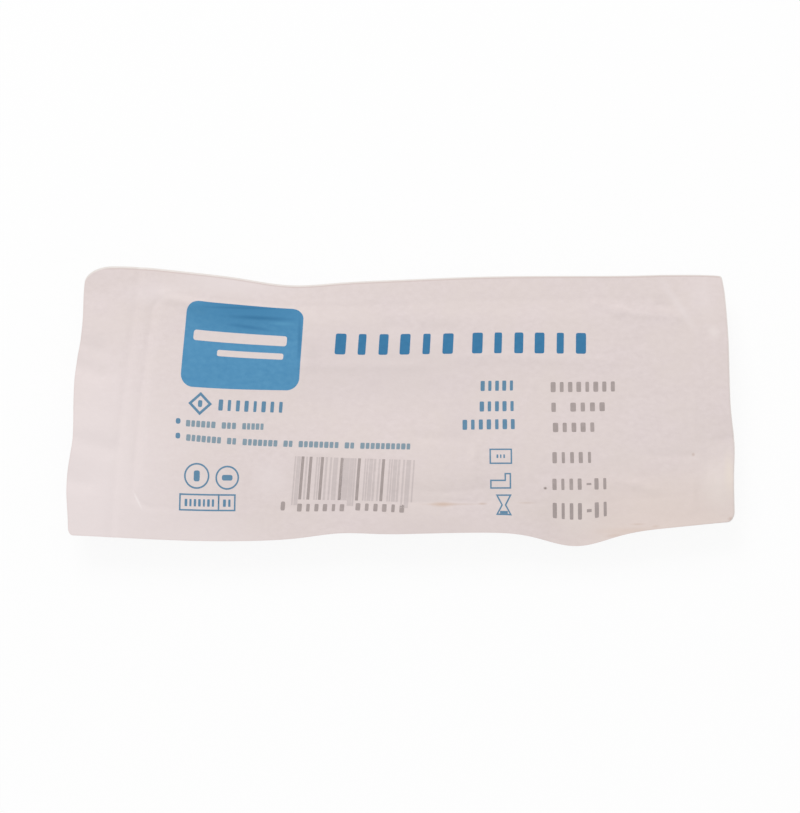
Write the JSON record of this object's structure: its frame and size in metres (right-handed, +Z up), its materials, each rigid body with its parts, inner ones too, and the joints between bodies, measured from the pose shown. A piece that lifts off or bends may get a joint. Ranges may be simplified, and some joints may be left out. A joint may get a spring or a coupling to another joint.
{
  "type": "sealed sterile peel pouch",
  "caption": "Sealed paper and film peel pouch lying paper side up, with a shallow formed pocket that holds a small curved airway tube, and an unsealed tab for peeling it open.",
  "frame": {"origin": "middle of the pouch's box, on the surface that it lies on", "axes": "+X along the pouch, from the peel tab to the sealed end; +Y across it, towards the edge above the print; +Z up, out of the paper side"},
  "size_m": [0.158, 0.0682, 0.0088],
  "materials": {
    "printed_paper": "uncoated medical paper, matt, with flat blue and grey print",
    "forming_film": "milky, faintly warm formed film, satin",
    "blue_ink": "flat flexographic ink on paper",
    "grey_ink": "overprinted marks in grey ink"
  },
  "bodies": {
    "root": {"sealed_pouch": "printed_paper"}
  },
  "joints": []
}
